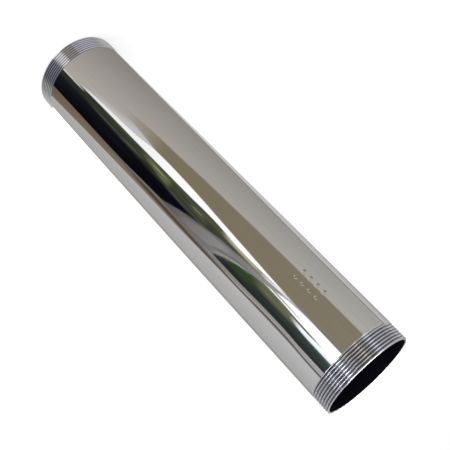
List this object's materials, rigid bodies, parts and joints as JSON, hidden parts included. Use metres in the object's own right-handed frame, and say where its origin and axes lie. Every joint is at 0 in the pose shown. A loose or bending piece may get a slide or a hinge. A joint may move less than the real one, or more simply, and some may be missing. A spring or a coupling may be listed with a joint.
{
  "type": "threaded pipe nipple",
  "caption": "Straight chrome-plated brass tube, open right through, with a fine male thread on each end, used to join threaded plumbing fittings in line.",
  "frame": {"origin": "centre of the lower end face, with the tube standing on that end", "axes": "+Z along the tube's axis, towards the end that is nearest in the picture"},
  "size_m": [0.0318, 0.0318, 0.1524],
  "materials": {
    "bare_brass": "dull drawn bore, darkened",
    "chrome": "polished"
  },
  "bodies": {
    "root": {"brass_tube": "bare_brass", "chrome_plating": "chrome"}
  },
  "joints": []
}
